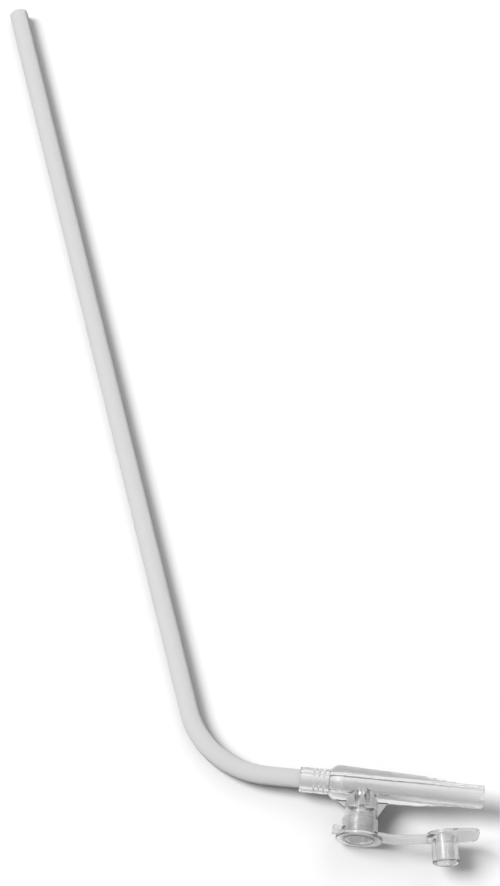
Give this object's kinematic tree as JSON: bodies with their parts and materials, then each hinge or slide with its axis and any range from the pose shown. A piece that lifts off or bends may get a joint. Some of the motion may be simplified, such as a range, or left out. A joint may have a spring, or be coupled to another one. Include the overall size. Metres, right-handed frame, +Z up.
{
  "type": "yankauer suction tip",
  "caption": "Clear bent suction tube bonded into a thumb-controlled connector with a side vent port, a tethered vent cap and a hose nozzle.",
  "frame": {"origin": "centre of the bounding box's bottom face, with the tip lying on a table as it comes to rest", "axes": "+Y along the tube's straight run towards its open tip, +Z up from the table, +X to the side that the connector's nozzle points to"},
  "size_m": [0.0932, 0.3592, 0.0174],
  "materials": {
    "clear_soft_tube": "clear, smooth, slightly hazy extruded soft plastic",
    "clear_hard_moulding": "clear, glossy moulded hard plastic",
    "clear_soft_moulding": "clear, glossy moulded flexible plastic"
  },
  "bodies": {
    "root": {"suction_tube": "clear_soft_tube", "control_connector": "clear_hard_moulding", "vent_cap": "clear_soft_moulding"}
  },
  "joints": []
}
